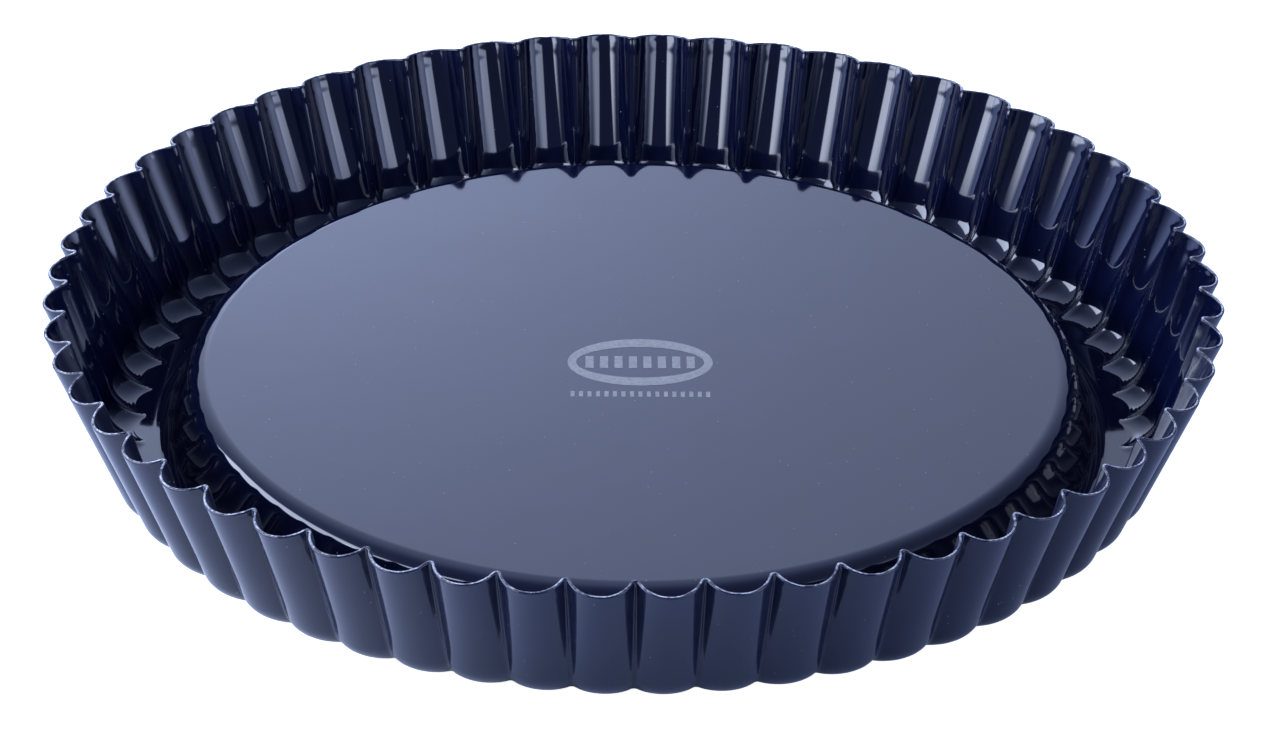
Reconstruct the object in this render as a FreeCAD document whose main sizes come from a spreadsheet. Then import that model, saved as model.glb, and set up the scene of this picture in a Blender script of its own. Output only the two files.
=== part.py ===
import FreeCAD, Part
import math
import os
import Sketcher
from FreeCAD import Vector

# Tart pan (fruit-flan form): one pressed steel sheet, enamelled all over, with a
# raised plateau in the middle, a trough round it and a fluted wall.
# Frame: +Z up, origin in the middle of the plane the pan rests on, millimetres.
# The food face is the reference face; every layer is an offset of it, measured
# as a depth towards the underside.

doc = FreeCAD.newDocument("tart_pan")

# ---------------------------------------------------------------- sizes
# alias, value, note
SIZES = [
    # overall
    ("overall_diameter", 300.0, "across two opposite lobe crests at the rim"),
    ("overall_height", 40.0, "from the rest plane to the rim on a ridge"),
    ("flute_count", 56, "flutes round the wall"),
    # sheet
    ("steel_gauge", 0.5, "pressed sheet"),
    ("coat_gauge", 0.2, "fired enamel on each face"),
    # plateau and riser, food face
    ("plateau_height", 18.3, "plateau above the rest plane"),
    ("plateau_corner_radius", 112.85, "where plateau and riser planes would meet"),
    ("plateau_edge_round", 5.5, "rounding from plateau to riser"),
    ("riser_lean", 20.0, "degrees from vertical, foot outwards"),
    ("riser_foot_round", 4.0, "rounding from riser to trough floor"),
    ("join_radius", 124.0, "circle on the trough floor where disc and wall meet"),
    # fluted wall, food face
    ("foot_lobe_radius", 134.0, "lobe crest, wall carried down to the trough floor"),
    ("foot_flute_depth", 2.02, "lobe crest to ridge at the trough floor"),
    ("foot_ridge_round", 2.6, "radius across a ridge at the foot"),
    ("wall_foot_round", 9.0, "rounding from trough floor to wall"),
    ("rim_flute_depth", 5.2, "lobe crest to ridge along the rim line"),
    ("rim_ridge_round", 1.45, "radius across a ridge at the rim"),
    ("rim_dip", 1.45, "how far the rim runs lower over a lobe"),
    # fired-on mark
    ("mark_gauge", 0.05, "height of the fired-on mark"),
    ("mark_centre_x", 1.8, "middle of the oval"),
    ("mark_centre_y", -1.8, "middle of the oval"),
    ("mark_oval_half_length", 18.6, "outside of the oval ring, along X"),
    ("mark_oval_half_width", 12.2, "outside of the oval ring, along Y"),
    ("mark_opening_half_length", 16.4, "inside of the oval ring, along X"),
    ("mark_opening_half_width", 8.0, "inside of the oval ring, along Y"),
    ("mark_bar_count", 8, "bars inside the oval"),
    ("mark_bar_width", 2.1, "one bar, along X"),
    ("mark_bar_height", 6.2, "one bar, along Y"),
    ("mark_bar_pitch", 3.7, "from bar to bar"),
    ("mark_tick_count", 17, "ticks in the row below the oval"),
    ("mark_tick_width", 1.0, "one tick, along X"),
    ("mark_tick_height", 2.8, "one tick, along Y"),
    ("mark_tick_pitch", 2.15, "from tick to tick"),
    ("mark_tick_drop", 16.6, "middle of the oval to middle of the row, towards -Y"),
]
sheet = doc.addObject("Spreadsheet::Sheet", "sizes")
for row, (alias, value, note) in enumerate(SIZES, 1):
    sheet.set("A%d" % row, alias)
    sheet.set("B%d" % row, str(value))
    sheet.set("C%d" % row, note)
    sheet.setAlias("B%d" % row, alias)
doc.recompute()


def size(alias):
    return float(sheet.get(alias))


FLUTES = int(size("flute_count"))
HALF_FLUTE = math.pi / FLUTES       # half a flute, as an angle
COAT = size("coat_gauge")
STEEL = size("steel_gauge")
TOTAL = STEEL + 2.0 * COAT
FLOOR = TOTAL                       # height of the trough floor, food face
JOIN_R = size("join_radius")
TOTAL_EXPR = "(sizes.steel_gauge + 2 * sizes.coat_gauge)"

# The four faces between layers: depth below the food face, as expression and value
FOOD_FACE = ("0", 0.0)
STEEL_TOP = ("sizes.coat_gauge", COAT)
STEEL_BOTTOM = ("(sizes.coat_gauge + sizes.steel_gauge)", COAT + STEEL)
UNDERSIDE = (TOTAL_EXPR, TOTAL)

# Layer name, upper face, lower face
LAYERS = [
    ("steel_pan", STEEL_TOP, STEEL_BOTTOM),
    ("inner_enamel", FOOD_FACE, STEEL_TOP),
    ("outer_enamel", STEEL_BOTTOM, UNDERSIDE),
]


# ---------------------------------------------------------------- helpers
def new_body(name):
    body = doc.addObject("PartDesign::Body", name)
    body.Label = name
    return body


def new_sketch(body, name, plane_role):
    sketch = body.newObject("Sketcher::SketchObject", name)
    planes = [obj for obj in body.Origin.OriginFeatures if obj.Role == plane_role]
    sketch.AttachmentSupport = [(planes[0], "")]
    sketch.MapMode = "FlatFace"
    return sketch


def bind(sketch, constraint, name, expression):
    """Add a dimension to the sketch and drive it from the spreadsheet."""
    index = sketch.addConstraint(constraint)
    sketch.renameConstraint(index, name)
    sketch.setExpression("Constraints." + name, expression)


def add_solid(name, shape):
    obj = doc.addObject("Part::Feature", name)
    obj.Label = name
    obj.Shape = shape
    obj.Placement = FreeCAD.Placement()
    return obj


Constraint = Sketcher.Constraint
START, END, CENTRE = 1, 2, 3        # point numbers on a sketch element
ORIGIN = (-1, 1)                    # element and point of the sketch origin
Y_AXIS = -2

# ---------------------------------------------------------------- disc
# Plateau, riser and trough floor of one layer, turned about the axis.
# Sketch x is the radius, sketch y the height.

# Elements of one face, from the axis outwards; the lower face follows the upper
PLATEAU, EDGE_ROUND, RISER, FOOT_ROUND, TROUGH = range(5)
UPPER, LOWER = 0, 5
JOIN_EDGE, AXIS_EDGE = 10, 11       # short lines that close the profile


def draw_disc(sketch, upper, lower):
    lean = math.radians(size("riser_lean"))
    half_tan = math.tan((math.pi / 2 - lean) / 2)
    top = size("plateau_height")
    corner_r = size("plateau_corner_radius")
    edge_round, foot_round = size("plateau_edge_round"), size("riser_foot_round")
    edge_x, edge_z = corner_r - edge_round * half_tan, top - edge_round
    foot_x = corner_r + (top - FLOOR) * math.tan(lean) + foot_round * half_tan
    foot_z = FLOOR + foot_round

    geometry, axis_ends, join_ends = [], [], []
    for _, depth in (upper, lower):
        edge_r, foot_r = edge_round - depth, foot_round + depth
        axis_end = Vector(0, top - depth, 0)
        plateau_end = Vector(edge_x, top - depth, 0)
        riser_top = Vector(edge_x + edge_r * math.cos(lean), edge_z + edge_r * math.sin(lean), 0)
        riser_foot = Vector(foot_x - foot_r * math.cos(lean), foot_z - foot_r * math.sin(lean), 0)
        trough_start = Vector(foot_x, FLOOR - depth, 0)
        join_end = Vector(JOIN_R, FLOOR - depth, 0)
        edge_circle = Part.Circle(Vector(edge_x, edge_z, 0), Vector(0, 0, 1), edge_r)
        foot_circle = Part.Circle(Vector(foot_x, foot_z, 0), Vector(0, 0, 1), foot_r)
        geometry += [
            Part.LineSegment(axis_end, plateau_end),
            Part.ArcOfCircle(edge_circle, lean, math.pi / 2),
            Part.LineSegment(riser_top, riser_foot),
            Part.ArcOfCircle(foot_circle, math.pi + lean, 1.5 * math.pi),
            Part.LineSegment(trough_start, join_end),
        ]
        axis_ends.append(axis_end)
        join_ends.append(join_end)
    geometry.append(Part.LineSegment(join_ends[0], join_ends[1]))
    geometry.append(Part.LineSegment(axis_ends[1], axis_ends[0]))
    sketch.addGeometry(geometry, False)

    rules = []
    for face in (UPPER, LOWER):
        rules += [
            Constraint("Tangent", face + PLATEAU, END, face + EDGE_ROUND, END),
            Constraint("Tangent", face + EDGE_ROUND, START, face + RISER, START),
            Constraint("Tangent", face + RISER, END, face + FOOT_ROUND, START),
            Constraint("Tangent", face + FOOT_ROUND, END, face + TROUGH, START),
            Constraint("Horizontal", face + PLATEAU),
            Constraint("Horizontal", face + TROUGH),
        ]
    rules += [
        Constraint("Coincident", UPPER + TROUGH, END, JOIN_EDGE, START),
        Constraint("Coincident", JOIN_EDGE, END, LOWER + TROUGH, END),
        Constraint("Coincident", UPPER + PLATEAU, START, AXIS_EDGE, END),
        Constraint("Coincident", AXIS_EDGE, START, LOWER + PLATEAU, START),
        Constraint("Vertical", JOIN_EDGE),
        Constraint("PointOnObject", AXIS_EDGE, START, Y_AXIS),
        Constraint("PointOnObject", AXIS_EDGE, END, Y_AXIS),
        Constraint("Coincident", UPPER + EDGE_ROUND, CENTRE, LOWER + EDGE_ROUND, CENTRE),
        Constraint("Coincident", UPPER + FOOT_ROUND, CENTRE, LOWER + FOOT_ROUND, CENTRE),
    ]
    sketch.addConstraint(rules)

    half_expr = "tan((90 - sizes.riser_lean) / 2)"
    bind(sketch, Constraint("DistanceX", *ORIGIN, EDGE_ROUND, CENTRE, edge_x), "edge_centre_x",
         "sizes.plateau_corner_radius - sizes.plateau_edge_round * " + half_expr)
    bind(sketch, Constraint("DistanceY", *ORIGIN, EDGE_ROUND, CENTRE, edge_z), "edge_centre_z",
         "sizes.plateau_height - sizes.plateau_edge_round")
    bind(sketch, Constraint("DistanceX", *ORIGIN, FOOT_ROUND, CENTRE, foot_x), "foot_centre_x",
         "sizes.plateau_corner_radius"
         " + (sizes.plateau_height - " + TOTAL_EXPR + ") * tan(sizes.riser_lean)"
         " + sizes.riser_foot_round * " + half_expr)
    bind(sketch, Constraint("DistanceY", *ORIGIN, FOOT_ROUND, CENTRE, foot_z), "foot_centre_z",
         TOTAL_EXPR + " + sizes.riser_foot_round")
    faces = ((UPPER, "upper", upper), (LOWER, "lower", lower))
    for face, side, (expr, depth) in faces:
        bind(sketch, Constraint("Radius", face + EDGE_ROUND, edge_round - depth),
             "edge_" + side, "sizes.plateau_edge_round - " + expr)
    for face, side, (expr, depth) in faces:
        bind(sketch, Constraint("Radius", face + FOOT_ROUND, foot_round + depth),
             "foot_" + side, "sizes.riser_foot_round + " + expr)
    bind(sketch, Constraint("DistanceX", *ORIGIN, TROUGH, END, JOIN_R), "join",
         "sizes.join_radius")


def disc(name, upper, lower):
    body = new_body(name)
    sketch = new_sketch(body, name + "_profile", "XZ_Plane")
    draw_disc(sketch, upper, lower)
    doc.recompute()
    turned = body.newObject("PartDesign::Revolution", name + "_turned")
    turned.Profile = sketch
    turned.ReferenceAxis = (sketch, ["V_Axis"])
    turned.Angle = 360.0
    body.Tip = turned
    doc.recompute()
    return body


# ---------------------------------------------------------------- flute form
# One flute is two tangent arcs, a tight one over the ridge (towards the middle
# of the pan) and a wide one round the lobe.  Straight lines run from the foot
# to the rim, each in its own radial plane.  Angle 0 is on a ridge.
BEAD_R = TOTAL / 2.0                # radius of the enamel bead on the cut edge
RIM_PASSES = 20                     # repeats that settle the lean at the rim
SLOPE_STEP = 1e-4                   # radians, for slopes along the flutes
RIDGE_STEPS, LOBE_STEPS = 5, 8      # stations over half a ridge and half a lobe


def rim_point(foot_r, bead_r, bead_z):
    """Radius and height of the food face's rim, given the middle of the bead."""
    r, z = bead_r - BEAD_R, bead_z
    for _ in range(RIM_PASSES):
        lean = math.atan2(r - foot_r, z - FLOOR)
        r, z = bead_r - BEAD_R * math.cos(lean), bead_z + BEAD_R * math.sin(lean)
    return r, z


FOOT_DEPTH = size("foot_flute_depth")
FOOT_LOBE_R = size("foot_lobe_radius")
FOOT_RIDGE_R = FOOT_LOBE_R - FOOT_DEPTH
BEAD_LOBE_R = size("overall_diameter") / 2.0 - BEAD_R
BEAD_RIDGE_R = BEAD_LOBE_R - size("rim_flute_depth")
BEAD_RIDGE_Z = size("overall_height") - BEAD_R
BEAD_LOBE_Z = BEAD_RIDGE_Z - size("rim_dip")
RIM_LOBE_R, RIM_LOBE_Z = rim_point(FOOT_LOBE_R, BEAD_LOBE_R, BEAD_LOBE_Z)
RIM_RIDGE_R, RIM_RIDGE_Z = rim_point(FOOT_RIDGE_R, BEAD_RIDGE_R, BEAD_RIDGE_Z)
RIM_DEPTH = RIM_LOBE_R - RIM_RIDGE_R
# half a flute, as a length at the mean radius
FOOT_HALF_PITCH = math.pi * (FOOT_LOBE_R + FOOT_RIDGE_R) / 2 / FLUTES
RIM_HALF_PITCH = math.pi * (RIM_LOBE_R + RIM_RIDGE_R) / 2 / FLUTES


def flute_arcs(depth, half_pitch, ridge_round):
    """Radius of the lobe arc, and the angle either arc turns through."""
    centre_gap = (half_pitch ** 2 + depth ** 2) / (2 * depth)
    return centre_gap - ridge_round, math.asin(half_pitch / centre_gap)


def flute_rise(x, depth, half_pitch, ridge_round):
    """Height of the flute curve above its ridge, x along from the ridge."""
    lobe_round, turn = flute_arcs(depth, half_pitch, ridge_round)
    if x <= ridge_round * math.sin(turn):
        return ridge_round - math.sqrt(ridge_round ** 2 - x * x)
    return depth - lobe_round + math.sqrt(max(0.0, lobe_round ** 2 - (half_pitch - x) ** 2))


def line_ends(angle):
    """Foot and rim (radius, height) of the wall line at an angle from a ridge."""
    share = min(1.0, abs(angle) / HALF_FLUTE)
    foot_rise = flute_rise(share * FOOT_HALF_PITCH, FOOT_DEPTH, FOOT_HALF_PITCH,
                           size("foot_ridge_round"))
    rim_rise = flute_rise(share * RIM_HALF_PITCH, RIM_DEPTH, RIM_HALF_PITCH,
                          size("rim_ridge_round"))
    rim_z = RIM_RIDGE_Z + (RIM_LOBE_Z - RIM_RIDGE_Z) * rim_rise / RIM_DEPTH
    return (FOOT_RIDGE_R + foot_rise, FLOOR), (RIM_RIDGE_R + rim_rise, rim_z)


def at(r, angle, z):
    return Vector(r * math.cos(angle), r * math.sin(angle), z)


def wall_point(angle, share):
    """Food face point, share 0 at the foot and 1 at the rim."""
    # mirrored past the lobe crest, so slopes can be taken at the seam
    mirrored = angle
    if angle > HALF_FLUTE:
        mirrored = 2 * HALF_FLUTE - angle
    if angle < -HALF_FLUTE:
        mirrored = -2 * HALF_FLUTE - angle
    (foot_r, foot_z), (rim_r, rim_z) = line_ends(mirrored)
    return at(foot_r + (rim_r - foot_r) * share, angle, foot_z + (rim_z - foot_z) * share)


def wall_normal(angle, share):
    """Unit normal of the wall, pointing away from the axis."""
    along = wall_point(angle + SLOPE_STEP, share) - wall_point(angle - SLOPE_STEP, share)
    up = wall_point(angle, 1.0) - wall_point(angle, 0.0)
    normal = along.cross(up)
    normal.normalize()
    if normal.x * math.cos(angle) + normal.y * math.sin(angle) < 0:
        normal = normal * -1.0
    return normal


def stations():
    """Angles over one flute, lobe crest to lobe crest, dense over the ridge."""
    ridge_round = size("rim_ridge_round")
    lobe_round, turn = flute_arcs(RIM_DEPTH, RIM_HALF_PITCH, ridge_round)
    places = [ridge_round * math.sin(turn * k / RIDGE_STEPS) for k in range(RIDGE_STEPS + 1)]
    places += [RIM_HALF_PITCH - lobe_round * math.sin(turn * (1 - k / LOBE_STEPS))
               for k in range(1, LOBE_STEPS + 1)]
    half = [x / RIM_HALF_PITCH * HALF_FLUTE for x in places]
    half[-1] = HALF_FLUTE
    return [-angle for angle in reversed(half[1:])] + half


def rim_parameters(angles):
    """Share of the rim's length at each station, 0 to 1."""
    points = [wall_point(angle, 1.0) for angle in angles]
    lengths = [0.0]
    for before, after in zip(points, points[1:]):
        lengths.append(lengths[-1] + (after - before).Length)
    return [length / lengths[-1] for length in lengths]


ANGLES = stations()
PARAMETERS = rim_parameters(ANGLES)


def through(points):
    """Curve through one point per station, square to the radius at both crests."""
    ends = [Vector(-math.sin(angle), math.cos(angle), 0) for angle in (ANGLES[0], ANGLES[-1])]
    curve = Part.BSplineCurve()
    curve.interpolate(Points=points, Parameters=PARAMETERS,
                      InitialTangent=ends[0], FinalTangent=ends[1])
    return curve


# ---------------------------------------------------------------- surfaces
# Forms across the rows of a surface: degree, knot multiplicities, knots
STRAIGHT = (1, [2, 2], [0.0, 1.0])
ONE_ARC = (2, [3, 3], [0.0, 1.0])
TWO_ARCS = (2, [3, 2, 3], [0.0, 0.5, 1.0])


def skin(rows, form, weights=None):
    """Face whose rows of poles are those of the given curves."""
    degree, mults, knots = form
    first = rows[0]
    poles = [row.getPoles() for row in rows]
    if weights is None:
        weights = [[1.0] * len(poles[0]) for _ in rows]
    surface = Part.BSplineSurface()
    surface.buildFromPolesMultsKnots(
        poles, mults, first.getMultiplicities(), knots, first.getKnots(),
        False, False, degree, first.Degree, weights)
    return surface.toShape()


def all_round(shape):
    """Copies of one flute's shape, one for each flute."""
    copies = []
    for k in range(FLUTES):
        turned = shape.copy()
        turned.rotate(Vector(0, 0, 0), Vector(0, 0, 1), 360.0 * k / FLUTES)
        copies.append(turned)
    return copies


def closed_solid(faces):
    sewn = Part.Compound(faces)
    sewn.sewShape(1e-4)
    shell = sewn.Shells[0]
    if not shell.isClosed():
        raise RuntimeError("open shell")
    solid = Part.Solid(shell)
    if solid.Volume < 0:
        solid.reverse()
    return solid


# ---------------------------------------------------------------- fluted wall
def section(angle, depth):
    """Poles of one layer face at an angle, floor to rim, and the arc weight.

    Start, corner and foot make the foot rounding; foot, pole and rim the wall.
    """
    (foot_r, foot_z), (rim_r, rim_z) = line_ends(angle)
    lean = math.atan2(rim_r - foot_r, rim_z - foot_z)
    half_turn = (math.pi / 2 - lean) / 2
    tangent_length = size("wall_foot_round") * math.tan(half_turn)
    foot_share = tangent_length * math.cos(lean) / (rim_z - foot_z)

    start = at(foot_r - tangent_length, angle, FLOOR - depth)
    foot, middle, rim = [wall_point(angle, share) + wall_normal(angle, share) * depth
                         for share in (foot_share, (1 + foot_share) / 2, 1.0)]
    pole = middle * 2.0 - (foot + rim) * 0.5
    # the wall's slope at its foot, carried down to the floor
    slope = pole - foot
    corner = foot - slope * ((foot.z - (FLOOR - depth)) / slope.z)
    return start, corner, foot, pole, rim, math.cos(half_turn)


def pole_weights(curve, station_weights):
    """One weight per pole of the curve, taken at the pole's knot average."""
    knots = []
    for knot, mult in zip(curve.getKnots(), curve.getMultiplicities()):
        knots += [knot] * mult
    weights = []
    for i in range(len(curve.getPoles())):
        average = sum(knots[i + 1:i + 4]) / 3.0
        j = 0
        while j < len(PARAMETERS) - 2 and PARAMETERS[j + 1] < average:
            j += 1
        share = (average - PARAMETERS[j]) / (PARAMETERS[j + 1] - PARAMETERS[j])
        weights.append(station_weights[j] * (1 - share) + station_weights[j + 1] * share)
    return weights


def floor_face(curve, depth):
    """Trough floor from the join circle out to the start of the foot rounding."""
    outer = Part.Wire(Part.__sortEdges__(all_round(curve.toShape())))
    inner = Part.Wire([Part.makeCircle(JOIN_R, Vector(0, 0, FLOOR - depth))])
    return Part.makeFace([outer, inner], "Part::FaceMakerBullseye")


def wall_ring(name, upper, lower):
    """Trough edge, foot rounding and fluted wall of one layer."""
    faces, rims = [], []
    for depth in (upper, lower):
        *rows, station_weights = zip(*[section(angle, depth) for angle in ANGLES])
        start, corner, foot, pole, rim = [through(list(row)) for row in rows]
        weights = pole_weights(start, station_weights)
        ones = [1.0] * len(weights)
        faces += all_round(skin([start, corner, foot], ONE_ARC, [ones, weights, ones]))
        faces += all_round(skin([foot, pole, rim], ONE_ARC))
        faces.append(floor_face(start, depth))
        rims.append(rim)
    faces += all_round(skin(rims, STRAIGHT))
    cylinder = Part.makeCylinder(JOIN_R, lower - upper, Vector(0, 0, FLOOR - lower))
    faces.append([f for f in cylinder.Faces if isinstance(f.Surface, Part.Cylinder)][0])
    return add_solid(name, closed_solid(faces))


def layer(name, upper, lower):
    body = disc(name + "_disc", upper, lower)
    ring = wall_ring(name + "_wall", upper[1], lower[1])
    fuse = doc.addObject("Part::Fuse", name)
    fuse.Base = body
    fuse.Tool = ring
    fuse.Refine = True
    fuse.Label = name
    return fuse


# ---------------------------------------------------------------- rim bead
def rim_bead(name):
    """Half-round bead of enamel over the cut edge of all three layers."""
    sections = []
    for angle in ANGLES:
        inside = wall_point(angle, 1.0)
        outside = inside + wall_normal(angle, 1.0) * TOTAL
        up = inside - wall_point(angle, 0.0)
        up.normalize()
        rise = up * BEAD_R
        middle = (inside + outside) * 0.5
        sections.append((inside, inside + rise, middle + rise, outside + rise, outside))
    rows = [through(list(row)) for row in zip(*sections)]
    count = len(rows[0].getPoles())
    # the second and fourth rows are the corners of two quarter circles
    weights = [[weight] * count for weight in (1.0, math.sqrt(0.5), 1.0, math.sqrt(0.5), 1.0)]
    faces = all_round(skin(rows, TWO_ARCS, weights))
    faces += all_round(skin([rows[0], rows[4]], STRAIGHT))
    return add_solid(name, closed_solid(faces))


# ---------------------------------------------------------------- fired-on mark
# A plain oval ring round a row of upright bars, over a row of ticks.
def draw_oval(sketch, kind):
    length_key, width_key = "mark_%s_half_length" % kind, "mark_%s_half_width" % kind
    half_length, half_width = size(length_key), size(width_key)
    ellipse = sketch.addGeometry(
        Part.Ellipse(Vector(half_length, 0, 0), Vector(0, half_width, 0), Vector(0, 0, 0)), False)
    # adds the long axis and the short axis as the next two elements
    sketch.exposeInternalGeometry(ellipse)
    sketch.addConstraint(Constraint("Coincident", ellipse, CENTRE, *ORIGIN))
    sketch.addConstraint(Constraint("Horizontal", ellipse + 1))
    for axis, half, key in ((ellipse + 1, half_length, length_key),
                            (ellipse + 2, half_width, width_key)):
        bind(sketch, Constraint("Distance", axis, 2 * half), key, "2 * sizes." + key)


def draw_ring(sketch):
    draw_oval(sketch, "oval")
    draw_oval(sketch, "opening")


def draw_blocks(sketch, kind, drop=0.0, drop_expr=""):
    """A row of rectangles, centred on x = 0 and lowered by the drop."""
    key = "mark_" + kind
    count = int(size(key + "_count"))
    width, height, pitch = [size(key + end) for end in ("_width", "_height", "_pitch")]
    y0, y1 = -drop - height / 2, -drop + height / 2
    for j in range(count):
        steps = j - (count - 1) / 2.0
        x0, x1 = steps * pitch - width / 2, steps * pitch + width / 2
        corners = [Vector(x0, y0, 0), Vector(x1, y0, 0), Vector(x1, y1, 0), Vector(x0, y1, 0)]
        sides = sketch.addGeometry(
            [Part.LineSegment(corners[k], corners[(k + 1) % 4]) for k in range(4)], False)
        bottom, right, top, left = sides
        sketch.addConstraint(
            [Constraint("Coincident", sides[k], END, sides[(k + 1) % 4], START) for k in range(4)])
        sketch.addConstraint([Constraint("Horizontal", bottom), Constraint("Horizontal", top),
                              Constraint("Vertical", right), Constraint("Vertical", left)])
        middle_expr = "%.1f * sizes.%s_pitch" % (steps, key)
        for end, direction, side, point, value, expr in (
            ("x0", "DistanceX", bottom, START, x0, middle_expr + " - sizes.%s_width / 2" % key),
            ("x1", "DistanceX", bottom, END, x1, middle_expr + " + sizes.%s_width / 2" % key),
            ("y0", "DistanceY", bottom, START, y0, "-sizes.%s_height / 2" % key + drop_expr),
            ("y1", "DistanceY", top, START, y1, "sizes.%s_height / 2" % key + drop_expr),
        ):
            bind(sketch, Constraint(direction, *ORIGIN, side, point, value),
                 "%s%d_%s" % (kind, j, end), expr)


def draw_bars(sketch):
    draw_blocks(sketch, "bar")


def draw_ticks(sketch):
    draw_blocks(sketch, "tick", size("mark_tick_drop"), " - sizes.mark_tick_drop")


def mark_part(name, draw):
    """One part of the mark, raised from the plateau."""
    body = new_body(name)
    body.AllowCompound = True       # the bars and ticks are separate solids
    sketch = new_sketch(body, name + "_profile", "XY_Plane")
    sketch.setExpression(".AttachmentOffset.Base.x", "sizes.mark_centre_x")
    sketch.setExpression(".AttachmentOffset.Base.y", "sizes.mark_centre_y")
    sketch.setExpression(".AttachmentOffset.Base.z", "sizes.plateau_height")
    draw(sketch)
    doc.recompute()
    pad = body.newObject("PartDesign::Pad", name + "_pad")
    pad.Profile = sketch
    pad.setExpression("Length", "sizes.mark_gauge")
    body.Tip = pad
    doc.recompute()
    return body


def centre_mark(name):
    parts = [mark_part("mark_oval", draw_ring),
             mark_part("mark_bars", draw_bars),
             mark_part("mark_ticks", draw_ticks)]
    mark = doc.addObject("Part::Compound", name)
    mark.Links = parts
    mark.Label = name
    return mark


# ---------------------------------------------------------------- build, check, export
nodes = [layer(*entry) for entry in LAYERS]
doc.recompute()
nodes.append(rim_bead("rim_enamel"))
nodes.append(centre_mark("centre_mark"))
doc.recompute()

for obj in doc.Objects:
    if any(state in ("Invalid", "Error") for state in obj.State):
        raise RuntimeError("not sound: %s %s" % (obj.Name, obj.State))
for obj in nodes:
    if obj.Shape.isNull() or not obj.Shape.isValid():
        raise RuntimeError("bad shape: %s" % obj.Name)

os.makedirs("parts", exist_ok=True)
for obj in nodes:
    obj.Shape.exportStep("parts/%s.step" % obj.Label)
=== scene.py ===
# Enamelled steel pan: a round plateau in the middle, a flat floor round it and a fluted wall
# leaning out to the rim. The axis is Z, the underside of the floor lies on z = 0, and the
# camera looks from the -Y side. Two enamel coats and a bead of enamel along the rim are
# built here. Sizes are in millimetres, turned to metres when a mesh is made.

import math

import bpy
import numpy as np
from mathutils import Matrix, Vector


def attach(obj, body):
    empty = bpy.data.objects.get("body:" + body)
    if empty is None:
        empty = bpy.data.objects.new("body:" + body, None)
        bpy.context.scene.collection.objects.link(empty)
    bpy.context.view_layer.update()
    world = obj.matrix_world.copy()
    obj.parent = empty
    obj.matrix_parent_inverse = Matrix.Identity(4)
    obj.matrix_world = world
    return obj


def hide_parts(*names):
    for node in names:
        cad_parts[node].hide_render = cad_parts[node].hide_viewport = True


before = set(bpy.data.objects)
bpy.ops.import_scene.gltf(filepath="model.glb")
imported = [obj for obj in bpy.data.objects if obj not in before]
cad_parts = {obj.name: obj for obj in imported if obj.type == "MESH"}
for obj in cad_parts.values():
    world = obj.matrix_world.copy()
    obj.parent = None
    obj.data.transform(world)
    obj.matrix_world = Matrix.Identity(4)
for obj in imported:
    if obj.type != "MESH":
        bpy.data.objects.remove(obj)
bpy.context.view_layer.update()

# --------------------------------------------------------------------------
# Sizes
# --------------------------------------------------------------------------
MM = 0.001
DIAMETER, HEIGHT = 300.0, 40.0
ENAMEL, STEEL = 0.2, 0.5
TOTAL = STEEL + 2 * ENAMEL
HALF_TOTAL = TOTAL / 2
FLOOR_Z = TOTAL                       # food face of the floor

# plateau, and the riser that leans out from it down to the floor
PLATEAU_Z = 18.3
CORNER_R = 112.85                     # sharp corner of plateau and riser
EDGE_ROUND = 5.5
RISER_LEAN = math.radians(20.0)
RISER_FOOT_ROUND = 4.0

# fluted wall: lobes bulge outward, ridges point inward
FLUTES = 56
HALF_FLUTE = math.pi / FLUTES         # angle from a ridge to the next lobe crest
FOOT_LOBE_R, FOOT_DEPTH, FOOT_RIDGE_ROUND = 134.0, 2.02, 2.6
FOOT_RIDGE_R = FOOT_LOBE_R - FOOT_DEPTH
RIM_DEPTH, RIM_RIDGE_ROUND = 5.2, 1.45
RIM_DIP = 1.45                        # lobes are this much lower than ridges at the rim
WALL_ROUND = 9.0                      # rounding between floor and wall
ROUND_FLOOR_R = 124.0                 # floor rings are circles up to this radius


def rim_point(foot_r, mid_r, mid_z):
    """Radius and height on the food face for a rim point at the middle of the sheet."""
    r, z = mid_r - HALF_TOTAL, mid_z
    for _ in range(20):
        lean = math.atan2(r - foot_r, z - FLOOR_Z)
        r = mid_r - HALF_TOTAL * math.cos(lean)
        z = mid_z + HALF_TOTAL * math.sin(lean)
    return r, z


MID_LOBE_R = DIAMETER / 2 - HALF_TOTAL
MID_RIM_Z = HEIGHT - HALF_TOTAL
RIM_LOBE_R, RIM_LOBE_Z = rim_point(FOOT_LOBE_R, MID_LOBE_R, MID_RIM_Z - RIM_DIP)
RIM_RIDGE_R, RIM_RIDGE_Z = rim_point(FOOT_RIDGE_R, MID_LOBE_R - RIM_DEPTH, MID_RIM_Z)
RIM_FACE_DEPTH = RIM_LOBE_R - RIM_RIDGE_R
FOOT_HALF_PITCH = math.pi * (FOOT_LOBE_R + FOOT_RIDGE_R) / 2 / FLUTES
RIM_HALF_PITCH = math.pi * (RIM_LOBE_R + RIM_RIDGE_R) / 2 / FLUTES

# centres (radius, height) of the rounding above and below the riser
HALF_TURN = math.tan((math.pi / 2 - RISER_LEAN) / 2)
EDGE_CENTRE = (CORNER_R - EDGE_ROUND * HALF_TURN, PLATEAU_Z - EDGE_ROUND)
RISER_FOOT_CENTRE = (
    CORNER_R + (PLATEAU_Z - FLOOR_Z) * math.tan(RISER_LEAN) + RISER_FOOT_ROUND * HALF_TURN,
    FLOOR_Z + RISER_FOOT_ROUND,
)

# --------------------------------------------------------------------------
# Flutes
# --------------------------------------------------------------------------


def flute_arcs(depth, half_pitch):
    """A ridge arc and a lobe arc that meet smoothly: sum of their radii, angle each turns."""
    radii_sum = (half_pitch ** 2 + depth ** 2) / (2 * depth)
    return radii_sum, math.asin(half_pitch / radii_sum)


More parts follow.
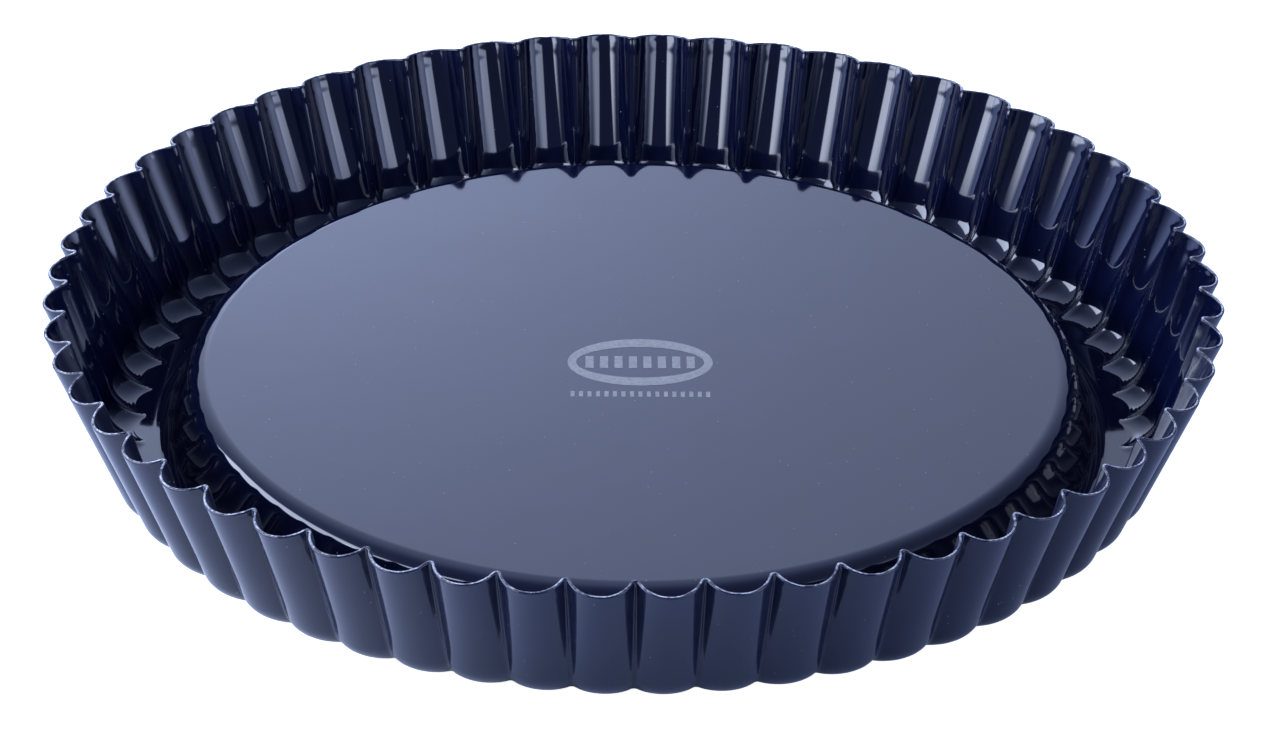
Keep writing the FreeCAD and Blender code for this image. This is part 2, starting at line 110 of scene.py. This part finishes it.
def flute_rise(x, depth, half_pitch, ridge_round):
    """Distance outward from the ridge at x along the flute."""
    radii_sum, turn = flute_arcs(depth, half_pitch)
    lobe_round = radii_sum - ridge_round
    ridge = ridge_round - np.sqrt(np.maximum(0.0, ridge_round ** 2 - x * x))
    lobe_drop = np.sqrt(np.maximum(0.0, lobe_round ** 2 - (half_pitch - x) ** 2))
    lobe = depth - lobe_round + lobe_drop
    return np.where(x <= ridge_round * math.sin(turn), ridge, lobe)


def flute_share(angle):
    """0 on a ridge, 1 on a lobe crest."""
    return np.abs(np.mod(angle + HALF_FLUTE, 2 * HALF_FLUTE) - HALF_FLUTE) / HALF_FLUTE


def columns(per_ridge=6, per_lobe=10):
    """Angles all round, closer together over the ridges."""
    radii_sum, turn = flute_arcs(RIM_FACE_DEPTH, RIM_HALF_PITCH)
    lobe_round = radii_sum - RIM_RIDGE_ROUND
    places = [RIM_RIDGE_ROUND * math.sin(turn * k / per_ridge) for k in range(per_ridge + 1)]
    places += [RIM_HALF_PITCH - lobe_round * math.sin(turn * (1 - k / per_lobe))
               for k in range(1, per_lobe + 1)]
    half = np.array(places) / RIM_HALF_PITCH * HALF_FLUTE
    flute = np.concatenate([-half[::-1], half[1:]])[:-1]      # lobe crest to just before the next
    return np.concatenate([flute + 2 * HALF_FLUTE * k for k in range(FLUTES)])


ANGLES = columns()
COLUMNS = len(ANGLES)
SHARE = flute_share(ANGLES)
RIDGE_DISTANCE = SHARE * RIM_HALF_PITCH                       # along the rim

# --------------------------------------------------------------------------
# Wall surface: straight lines from foot to rim, share 0 at the foot and 1 at the rim
# --------------------------------------------------------------------------


def cylindrical(r, angle, z):
    return np.stack([r * np.cos(angle), r * np.sin(angle), z * np.ones_like(angle)], -1)


def unit(v):
    return v / np.linalg.norm(v, axis=-1, keepdims=True)


def line_ends(angle):
    """Foot radius, rim radius and rim height of the wall's straight lines."""
    share = flute_share(angle)
    foot = flute_rise(share * FOOT_HALF_PITCH, FOOT_DEPTH, FOOT_HALF_PITCH, FOOT_RIDGE_ROUND)
    rim = flute_rise(share * RIM_HALF_PITCH, RIM_FACE_DEPTH, RIM_HALF_PITCH, RIM_RIDGE_ROUND)
    rim_z = RIM_RIDGE_Z + (RIM_LOBE_Z - RIM_RIDGE_Z) * rim / RIM_FACE_DEPTH
    return FOOT_RIDGE_R + foot, RIM_RIDGE_R + rim, rim_z


def wall_point(angle, share):
    foot_r, rim_r, rim_z = line_ends(angle)
    r = foot_r + (rim_r - foot_r) * share
    return cylindrical(r, angle, FLOOR_Z + (rim_z - FLOOR_Z) * share)


def wall_normal(angle, share, nudge=1e-4):
    """Unit normals pointing away from the axis."""
    around = wall_point(angle + nudge, share) - wall_point(angle - nudge, share)
    upward = wall_point(angle, 1.0) - wall_point(angle, 0.0)
    normal = unit(np.cross(around, upward))
    inward = (normal[..., 0] * np.cos(angle) + normal[..., 1] * np.sin(angle)) < 0
    return np.where(inward[..., None], -normal, normal)


def offset_wall(share, depth):
    return wall_point(ANGLES, share) + wall_normal(ANGLES, share) * depth


# --------------------------------------------------------------------------
# Pooled glaze: offsets along the wall normal, `below` is the distance down from the rim
# --------------------------------------------------------------------------


def smoothstep(x, low, high):
    t = np.clip((x - low) / (high - low), 0.0, 1.0)
    return t * t * (3 - 2 * t)


def band(below, fade_in, fade_out):
    return smoothstep(below, *fade_in) * (1 - smoothstep(below, *fade_out))


def ridge_bell(width):
    return np.exp(-(RIDGE_DISTANCE / width) ** 2)


def pooled_inside(below):
    """Food face: fuller lobes and ridge tips just under the rim."""
    near_rim = band(below, fade_in=(0.2, 1.6), fade_out=(2.6, 4.8))
    return -near_rim * (0.08 * smoothstep(SHARE, low=0.30, high=1.0) + 0.12 * ridge_bell(width=1.1))


def pooled_outside(below):
    """Underside: glaze gathers in the valley behind each ridge."""
    near_rim = band(below, fade_in=(0.2, 1.6), fade_out=(3.0, 5.2))
    long_run = band(below, fade_in=(0.2, 1.6), fade_out=(24.0, 34.0))
    valley_half_width = 1.7
    fill = np.clip(1 - RIDGE_DISTANCE / valley_half_width, 0, 1) ** 2
    return 0.30 * long_run * fill + 0.22 * near_rim * ridge_bell(width=1.9)


# --------------------------------------------------------------------------
# Rings of one face of a coat, from the plateau to the rim
# --------------------------------------------------------------------------
FINE = dict(edge=12, riser=5, riser_foot=10, floor=3, fillet=10, wall=10, top=12)
COARSE = dict(edge=5, riser=2, riser_foot=5, floor=2, fillet=5, wall=5, top=3)
PLATEAU_SHARES = (0.35, 0.7, 0.9, 0.985, 0.998)   # keep the shading flat to the plateau's edge
ROUND_FLOOR_SHARES = (0.4, 0.7, 1.0)
TOP_SHARE = 0.84                                  # wall rings are spaced anew above here


def arc(centre, radius, start, end, steps):
    angles = [start + (end - start) * k / steps for k in range(steps + 1)]
    return [(centre[0] + radius * math.cos(a), centre[1] + radius * math.sin(a)) for a in angles]


def round_rings(depth, steps):
    """Plateau, riser and the round part of the floor."""
    edge = arc(EDGE_CENTRE, EDGE_ROUND - depth, math.pi / 2, RISER_LEAN, steps["edge"])
    foot = arc(RISER_FOOT_CENTRE, RISER_FOOT_ROUND + depth,
               math.pi + RISER_LEAN, 1.5 * math.pi, steps["riser_foot"])
    (top_r, top_z), (low_r, low_z) = edge[-1], foot[0]
    shares = [k / steps["riser"] for k in range(1, steps["riser"])]
    riser = [(top_r + (low_r - top_r) * f, top_z + (low_z - top_z) * f) for f in shares]
    plateau = [(EDGE_CENTRE[0] * f, PLATEAU_Z - depth) for f in PLATEAU_SHARES]
    inner_r = RISER_FOOT_CENTRE[0]
    floor = [(inner_r + (ROUND_FLOOR_R - inner_r) * f, FLOOR_Z - depth)
             for f in ROUND_FLOOR_SHARES]
    return [cylindrical(r, ANGLES, z) for r, z in plateau + edge + riser + foot + floor]


def conic(start, pole, end, t, weight=1.0):
    """Point on a quadratic curve; the pole's weight sets how round it is."""
    b0, b1, b2 = (1 - t) ** 2, 2 * t * (1 - t), t * t
    return (start * b0 + pole * weight * b1 + end * b2) / (b0 + weight * b1 + b2)


def fluted_rings(depth, steps, pool):
    """Outer floor, fluted rounding and wall."""
    foot_r, rim_r, rim_z = line_ends(ANGLES)
    lean = np.arctan2(rim_r - foot_r, rim_z - FLOOR_Z)
    turn = math.pi / 2 - lean
    tangent = WALL_ROUND * np.tan(turn / 2)
    start_r, bottom_z = foot_r - tangent, FLOOR_Z - depth
    rings = [cylindrical(ROUND_FLOOR_R + (start_r - ROUND_FLOOR_R) * f, ANGLES, bottom_z)
             for f in np.arange(1, steps["floor"]) / steps["floor"]]

    # the wall curve passes through the offset surface at its foot, middle and rim
    foot_share = tangent * np.cos(lean) / (rim_z - FLOOR_Z)
    start = cylindrical(start_r, ANGLES, bottom_z)
    foot = offset_wall(foot_share, depth)
    middle = offset_wall((1 + foot_share) / 2, depth)
    rim = offset_wall(1.0, depth)
    pole = 2 * middle - (foot + rim) / 2
    toward = pole - foot
    corner = foot - toward * ((foot[:, 2] - bottom_z) / toward[:, 2])[:, None]
    weight = np.cos(turn / 2)[:, None]
    fillet = steps["fillet"]
    rings += [conic(start, corner, foot, k / fillet, weight) for k in range(fillet + 1)]

    length = np.linalg.norm(rim - foot, axis=-1)
    for t in np.concatenate([np.linspace(0, TOP_SHARE, steps["wall"])[1:],
                             np.linspace(TOP_SHARE, 1, steps["top"])[1:]]):
        ring = conic(foot, pole, rim, t)
        if pool is not None:
            normal = wall_normal(ANGLES, foot_share + (1 - foot_share) * t)
            ring = ring + normal * pool(length * (1 - t))[:, None]
        rings.append(ring)
    return rings


def face_rings(depth, steps, pool=None):
    """`depth` is measured down from the food face."""
    return round_rings(depth, steps) + fluted_rings(depth, steps, pool)


# --------------------------------------------------------------------------
# Pieces
# --------------------------------------------------------------------------


def new_object(name, verts, faces):
    mesh = bpy.data.meshes.new(name)
    mesh.from_pydata(verts, [], faces)
    mesh.update()
    ob = bpy.data.objects.new(name, mesh)
    bpy.context.scene.collection.objects.link(ob)
    return ob


def ring_mesh(name, rings, sharp_angle, centre_heights=None):
    """Smooth skin over rings. Two centre points close its ends, or else it loops round."""
    verts = (np.concatenate(rings) * MM).tolist()
    count = len(rings)
    here = np.arange(COLUMNS)
    there = (here + 1) % COLUMNS
    quads = []
    for i in range(count - 1 if centre_heights else count):
        a, b = i * COLUMNS, ((i + 1) % count) * COLUMNS
        quads.append(np.stack([a + here, a + there, b + there, b + here], -1))
    faces = np.concatenate(quads).tolist()
    if centre_heights:
        first_centre = len(verts)
        verts += [[0.0, 0.0, z * MM] for z in centre_heights]
        pairs = list(zip(here.tolist(), there.tolist()))
        last_ring = (count - 1) * COLUMNS
        faces += [[first_centre, j, i] for i, j in pairs]
        faces += [[first_centre + 1, last_ring + i, last_ring + j] for i, j in pairs]
    ob = new_object(name, verts, faces)
    mesh = ob.data
    mesh.validate()
    mesh.polygons.foreach_set("use_smooth", [True] * len(mesh.polygons))
    mesh.set_sharp_from_angle(angle=math.radians(sharp_angle))
    mesh.update()
    return ob


def coat(name, upper, lower):
    """Closed skin: the upper face out to the rim, then back along the lower face."""
    rings = face_rings(**upper) + face_rings(**lower)[::-1]
    centres = [PLATEAU_Z - face["depth"] for face in (upper, lower)]
    return ring_mesh(name, rings, sharp_angle=35.0, centre_heights=centres)


def wobble(seed, waves):
    """Seeded sum of sines round the rim, about -1 to 1."""
    rng = np.random.default_rng(seed)
    total = np.zeros_like(ANGLES)
    for wave in waves:
        total += np.sin(wave * ANGLES + rng.uniform(0, 2 * math.pi)) * rng.uniform(0.6, 1.0)
    return total / (0.55 * len(waves))


def rim_bead(name, around=14):
    """Enamel drawn up in small uneven beads along the cut edge."""
    normal = wall_normal(ANGLES, 1.0)
    up = unit(wall_point(ANGLES, 1.0) - wall_point(ANGLES, 0.0))
    middle = offset_wall(1.0, HALF_TOTAL)
    fine_lumps = wobble(seed=11, waves=[211, 293, 367, 449, 523, 611])
    broad_lumps = wobble(seed=12, waves=[61, 97, 131, 171])
    lumps = fine_lumps * 0.5 + broad_lumps * 0.5
    radius = 0.45 + 0.045 * lumps + 0.10 * ridge_bell(width=1.1)
    lift = 0.02 + 0.05 * wobble(seed=13, waves=[83, 149, 227, 331])
    rings = []
    for k in range(around):
        a = 2 * math.pi * k / around
        rise = (lift + radius * math.sin(a))[:, None]
        rings.append(middle + up * rise + normal * (radius * math.cos(a))[:, None])
    return ring_mesh(name, rings, sharp_angle=60)


food = coat(
    "food_side_enamel",
    upper=dict(depth=0.0, steps=FINE, pool=pooled_inside),
    lower=dict(depth=ENAMEL, steps=COARSE),
)
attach(food, "root")
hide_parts("inner_enamel")

under = coat(
    "underside_enamel",
    upper=dict(depth=ENAMEL + STEEL, steps=COARSE),
    lower=dict(depth=TOTAL, steps=FINE, pool=pooled_outside),
)
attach(under, "root")
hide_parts("outer_enamel")

bead = rim_bead("rim_enamel_bead")
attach(bead, "root")
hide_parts("rim_enamel")

# --------------------------------------------------------------------------
# Materials
# --------------------------------------------------------------------------


class Graph:
    """Node tree of a material or world. Inputs take sockets, which are linked, or values."""

    def __init__(self, owner, output_kind="ShaderNodeOutputMaterial"):
        self.owner = owner
        owner.use_nodes = True
        self.tree = owner.node_tree
        self.tree.nodes.clear()
        self.output = self.tree.nodes.new(output_kind)

    def node(self, kind, inputs=None, output=0, **props):
        """Adds a node and returns one of its outputs; an input of None is left alone."""
        node = self.tree.nodes.new(kind)
        for key, value in props.items():
            setattr(node, key, value)
        for key, value in (inputs or {}).items():
            socket = node.inputs[key]
            if isinstance(value, bpy.types.NodeSocket):
                self.tree.links.new(value, socket)
            elif value is not None:
                socket.default_value = (*value, 1) if socket.type == "RGBA" else value
        return node.outputs[output]

    def finish(self, shader):
        self.tree.links.new(shader, self.output.inputs["Surface"])
        return self.owner

    def coords(self, output="Object"):
        return self.node("ShaderNodeTexCoord", output=output)

    def noise(self, coords, scale, detail, rough):
        return self.node("ShaderNodeTexNoise", {
            "Vector": coords, "Scale": scale, "Detail": detail, "Roughness": rough}, "Fac")

    def ramp(self, fac, places, colours):
        """Blend between two colours at two places."""
        colour = self.node("ShaderNodeValToRGB", {"Fac": fac}, "Color")
        for element, place, rgb in zip(colour.node.color_ramp.elements, places, colours):
            element.position = place
            element.color = (*rgb, 1)
        return colour

    def remap(self, value, source, target=(0.0, 1.0), **props):
        return self.node("ShaderNodeMapRange", {
            "Value": value, "From Min": source[0], "From Max": source[1],
            "To Min": target[0], "To Max": target[1]}, "Result", **props)

    def bump(self, height, distance, normal=None):
        """`distance` is in millimetres."""
        return self.node("ShaderNodeBump", {
            "Strength": 1.0, "Distance": distance * MM, "Height": height, "Normal": normal},
            "Normal")

    def mix(self, fac, a, b):
        # 6 and 7 are the colour inputs, 2 the colour output
        return self.node("ShaderNodeMix", {"Factor": fac, 6: a, 7: b}, 2, data_type="RGBA")

    def calc(self, operation, a, b):
        return self.node("ShaderNodeMath", {0: a, 1: b}, operation=operation)

    def vector(self, operation, a, b=None, output=0):
        return self.node("ShaderNodeVectorMath", {0: a, 1: b}, output, operation=operation)

    def add_shaders(self, a, b):
        return self.node("ShaderNodeAddShader", {0: a, 1: b})

    def by_ray(self, other, camera):
        """One shader for camera rays, another for all other rays."""
        is_camera = self.node("ShaderNodeLightPath", output="Is Camera Ray")
        return self.node("ShaderNodeMixShader", {"Fac": is_camera, 1: other, 2: camera})


def new_graph(name):
    return Graph(bpy.data.materials.new(name))


def dust_mask(g, co):
    """Sparse tiny specks."""
    distance = g.node("ShaderNodeTexVoronoi", {"Vector": co, "Scale": 420}, "Distance",
                      feature="F1")
    speck = g.calc("LESS_THAN", distance, 0.055)
    keep = g.calc("GREATER_THAN", g.noise(co, scale=170, detail=1, rough=0.5), 0.56)
    return g.calc("MULTIPLY", speck, keep)


def glint_and_wear_mask(g, co):
    """Painted highlight on faces that point up, where the lamps catch the rim, broken into patches
    that are partly worn-thin glaze.
    """
    normal = g.node("ShaderNodeNewGeometry", output="Normal")
    up = g.node("ShaderNodeSeparateXYZ", {0: normal}, "Z")
    crest = g.remap(up, source=(0.74, 0.90))
    runs = g.remap(g.noise(co, scale=260, detail=4, rough=0.75),
                   source=(0.44, 0.55), target=(0.12, 1.0))
    grain = g.remap(g.noise(co, scale=1500, detail=2, rough=0.6),
                    source=(0.40, 0.60), target=(0.35, 1.0))
    return g.calc("MULTIPLY", g.calc("MULTIPLY", crest, runs), g.calc("MULTIPLY", grain, 0.9))


def enamel(name, pale, rough, wave=0.02, dust=True, lumps=0.0, glint=None):
    """Navy enamel. `wave` and `lumps` are bump heights in millimetres, `glint` the colour of a
    painted highlight.
    """
    g = new_graph(name)
    co = g.coords()
    body = g.ramp(g.noise(co, scale=60, detail=4, rough=0.6),
                  places=(0.35, 0.7), colours=(NAVY_DEEP, pale))
    if dust:
        dusty = dust_mask(g, co)
        body = g.mix(g.calc("MULTIPLY", dusty, 0.55), body, DUST_COLOUR)
    roughness = g.remap(g.noise(co, scale=25, detail=3, rough=0.5),
                        source=(0.3, 0.7), target=rough)
    if dust:
        roughness = g.calc("ADD", roughness, g.calc("MULTIPLY", dusty, 0.5))
    # painted highlight: pale patches on up-facing faces, mixed into the base colour
    if glint:
        body = g.mix(glint_and_wear_mask(g, co), body, glint)

    # slow waviness of fired enamel, lumps if any, and a faint orange peel on top
    normal = g.bump(g.noise(co, scale=38, detail=1, rough=0.4), distance=wave)
    if lumps:
        normal = g.bump(g.noise(co, scale=800, detail=2, rough=0.6), lumps, normal)
    normal = g.bump(g.noise(co, scale=900, detail=2, rough=0.5), 0.0006, normal)
    return g.finish(g.node("ShaderNodeBsdfPrincipled", {
        "Base Color": body, "Roughness": roughness, "IOR": 1.52, "Normal": normal}))


def mark_material():
    g = new_graph("fired_mark")
    co = g.coords()
    colour = g.ramp(g.noise(co, scale=900, detail=3, rough=0.6),
                    places=(0.3, 0.7), colours=((0.17, 0.165, 0.155), (0.27, 0.26, 0.23)))
    roughness = g.remap(g.noise(co, scale=1400, detail=2, rough=0.5),
                        source=(0.3, 0.7), target=(0.25, 0.45))
    normal = g.bump(g.noise(co, scale=1600, detail=2, rough=0.5), distance=0.004)
    return g.finish(g.node("ShaderNodeBsdfPrincipled", {
        "Base Color": colour, "Roughness": roughness, "Normal": normal}))


def steel_material():
    g = new_graph("sheet_steel")
    co = g.coords()
    colour = g.ramp(g.noise(co, scale=120, detail=4, rough=0.6),
                    places=(0.3, 0.7), colours=((0.42, 0.43, 0.45), (0.55, 0.56, 0.58)))
    roughness = g.remap(g.noise(co, scale=300, detail=3, rough=0.5),
                        source=(0.3, 0.7), target=(0.3, 0.45))
    return g.finish(g.node("ShaderNodeBsdfPrincipled", {
        "Base Color": colour, "Metallic": 1.0, "Roughness": roughness}))


def repaint(part, material):
    """Puts one material in every slot of a CAD piece."""
    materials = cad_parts[part].data.materials
    if len(materials):
        for i in range(len(materials)):
            materials[i] = material
    else:
        materials.append(material)


NAVY_DEEP, NAVY_PALE = (0.0016, 0.0030, 0.016), (0.0026, 0.0044, 0.021)
# RIM_GLINT is the colour of a painted highlight on the rim bead, partly worn glaze
RIM_PALE, RIM_GLINT = (0.006, 0.009, 0.026), (0.70, 0.72, 0.76)
DUST_COLOUR = (0.45, 0.5, 0.62)
food.data.materials.append(enamel("enamel_food_side", NAVY_PALE, rough=(0.03, 0.06)))
under.data.materials.append(enamel("enamel_underside", NAVY_PALE, rough=(0.05, 0.1), wave=0.03))
bead.data.materials.append(
    enamel("enamel_rim", RIM_PALE, rough=(0.05, 0.14), dust=False, lumps=0.08, glint=RIM_GLINT))
repaint("centre_mark", mark_material())
repaint("steel_pan", steel_material())

# --------------------------------------------------------------------------
# Stage, in metres
# --------------------------------------------------------------------------
FLOOR_HALF = 12.0

# light colours: the fuller a light is, the nearer to white
BRIGHT = (0.71, 0.79, 1.0)
SIDE = (0.62, 0.71, 1.0)
BACK = (0.512, 0.613, 1.0)
HAZE = (0.66, 0.75, 1.0)
ROOM = (0.40, 0.52, 1.0)
WHITE = (1, 1, 1)


def floor_material():
    """Matte pale floor, blown out to white for the camera only."""
    g = new_graph("studio_floor")
    co = g.coords()
    colour = g.ramp(g.noise(co, scale=3, detail=2, rough=0.5),
                    places=(0.3, 0.7), colours=((0.71, 0.80, 0.96), (0.75, 0.84, 0.99)))
    matte = g.node("ShaderNodeBsdfDiffuse", {"Color": colour})
    white = g.node("ShaderNodeEmission", {"Color": WHITE, "Strength": 1.0})
    # pools of light on the floor, growing toward -X and +X
    x = g.node("ShaderNodeSeparateXYZ", {0: co}, "X")
    left = g.remap(x, source=(-0.02, -0.09), target=(0.0, 0.34))
    right = g.remap(x, source=(0.04, 0.12), target=(0.0, 0.09))
    pools = g.node("ShaderNodeEmission", {
        "Color": (0.88, 0.90, 1.0), "Strength": g.calc("ADD", left, right)})
    return g.finish(g.by_ray(other=g.add_shaders(matte, pools),
                             camera=g.add_shaders(matte, white)))


def build_floor():
    s = FLOOR_HALF
    ob = new_object("floor", [(-s, -s, 0), (s, -s, 0), (s, s, 0), (-s, s, 0)], [(0, 1, 2, 3)])
    ob.data.materials.append(floor_material())


def direction(azimuth, elevation):
    """Azimuth 0 is the camera's side (-Y), 90 is +X."""
    a, e = math.radians(azimuth), math.radians(elevation)
    return Vector((math.sin(a) * math.cos(e), -math.cos(a) * math.cos(e), math.sin(e)))


def lit(level, colour):
    """Strength that gives a colour this green level."""
    return level / colour[1]


def studio_world(base_level, glows):
    """Dim room with broad soft glows; the camera sees plain white."""
    world = bpy.data.worlds.new("studio")
    bpy.context.scene.world = world
    g = Graph(world, "ShaderNodeOutputWorld")
    ray = g.vector("NORMALIZE", g.coords("Generated"))
    total = None
    for level, colour, tightness, azimuth, elevation in glows:
        facing = g.vector("DOT_PRODUCT", ray, direction(azimuth, elevation), "Value")
        falloff = g.calc("MULTIPLY", g.calc("SUBTRACT", facing, 1.0), tightness)
        strength = lit(level, colour)
        glow = g.node("ShaderNodeVectorMath", {
            0: [c * strength for c in colour],
            "Scale": g.node("ShaderNodeMath", {0: falloff}, operation="EXPONENT"),
        }, operation="SCALE")
        total = glow if total is None else g.vector("ADD", total, glow)
    total = g.vector("ADD", total, [lit(base_level, ROOM) * c for c in ROOM])
    g.finish(g.by_ray(other=g.node("ShaderNodeBackground", {"Color": total}),
                      camera=g.node("ShaderNodeBackground", {"Color": WHITE})))


def panel(name, azimuth, distance, across, heights, level, colour, soft):
    """Upright light facing the axis, `across` and `heights` its spans, with feathered edges."""
    a = math.radians(azimuth)
    outward = direction(azimuth, 0)
    sideways = Vector((math.cos(a), math.sin(a), 0))
    upward = Vector((0, 0, 1))
    feather = soft * 1.5
    (u0, u1), (z0, z1) = [(low - feather, high + feather) for low, high in (across, heights)]
    corners = [outward * distance + sideways * u + upward * z
               for u, z in ((u0, z0), (u1, z0), (u1, z1), (u0, z1))]
    ob = new_object(name, corners, [(0, 1, 2, 3)])

    g = new_graph(name)
    position = g.node("ShaderNodeNewGeometry", output="Position")

    def span(axis, limits):
        place = g.vector("DOT_PRODUCT", position, axis, "Value")
        start, end = [g.remap(place, source=(limit - feather, limit + feather),
                              interpolation_type="SMOOTHSTEP") for limit in limits]
        return g.calc("MULTIPLY", start, g.calc("SUBTRACT", 1.0, end))

    shape = g.calc("MULTIPLY", span(sideways, across), span(upward, heights))
    light = g.node("ShaderNodeEmission", {
        "Color": colour, "Strength": g.calc("MULTIPLY", shape, lit(level, colour))})
    clear = g.node("ShaderNodeBsdfTransparent")
    ob.data.materials.append(g.finish(g.add_shaders(light, clear)))
    ob.visible_camera = False
    ob.visible_shadow = False


build_floor()
bpy.context.scene.view_settings.view_transform = "Standard"
studio_world(base_level=0.10, glows=[
    # level, colour, tightness, azimuth, elevation
    (0.66, BACK, 12.5, 195, 62),
    (1.50, HAZE, 9.6, 188, 12),
    (1.70, BACK, 178.0, 185.4, 23),
    (0.22, ROOM, 1.0, 160, 45),
    (2.50, BACK, 15.0, 71, 1),
    (1.40, ROOM, 8.0, -91, 6),
])
panel("soft_left", azimuth=-90, distance=0.978, across=(-0.654, 0.349),
      heights=(0.244, 0.737), level=7.9, colour=BRIGHT, soft=0.03)
panel("soft_front_left", azimuth=-40, distance=0.50, across=(-0.304, 0.039),
      heights=(0.154, 0.300), level=9.0, colour=BRIGHT, soft=0.02)
panel("soft_right", azimuth=42.5, distance=0.50, across=(-0.15, 0.203),
      heights=(0.156, 0.254), level=4.2, colour=SIDE, soft=0.02)


def make_camera(distance, elevation, yaw, pitch, roll, turn, lens):
    """Aimed at the axis at rim height, then yawed, pitched, rolled and turned about Z."""
    elevation = math.radians(elevation)
    place = Vector((0, -distance * math.cos(elevation), distance * math.sin(elevation)))
    forward = (-place).normalized()
    right = Vector((1, 0, 0))
    up = right.cross(forward)

    def rotation(degrees, axis):
        return Matrix.Rotation(math.radians(degrees), 3, axis)

    spin = rotation(yaw, up)
    forward, right = spin @ forward, spin @ right
    spin = rotation(pitch, right)
    forward, up = spin @ forward, spin @ up
    spin = rotation(roll, forward)
    right, up = spin @ right, spin @ up
    spin = rotation(turn, "Z")
    place, right, up, forward = [spin @ v for v in (place, right, up, forward)]
    place.z += HEIGHT * MM

    camera = bpy.data.cameras.new("camera")
    camera.sensor_width = 36.0
    camera.lens = lens
    camera.clip_start, camera.clip_end = 0.05, 60.0
    ob = bpy.data.objects.new("camera", camera)
    axes = Matrix((right, up, -forward)).transposed().to_4x4()
    ob.matrix_world = Matrix.Translation(place) @ axes
    bpy.context.scene.collection.objects.link(ob)
    bpy.context.scene.camera = ob


make_camera(distance=1.397, elevation=28.336, yaw=-0.073, pitch=-0.888, roll=-0.516,
            turn=-0.407, lens=154.378125)
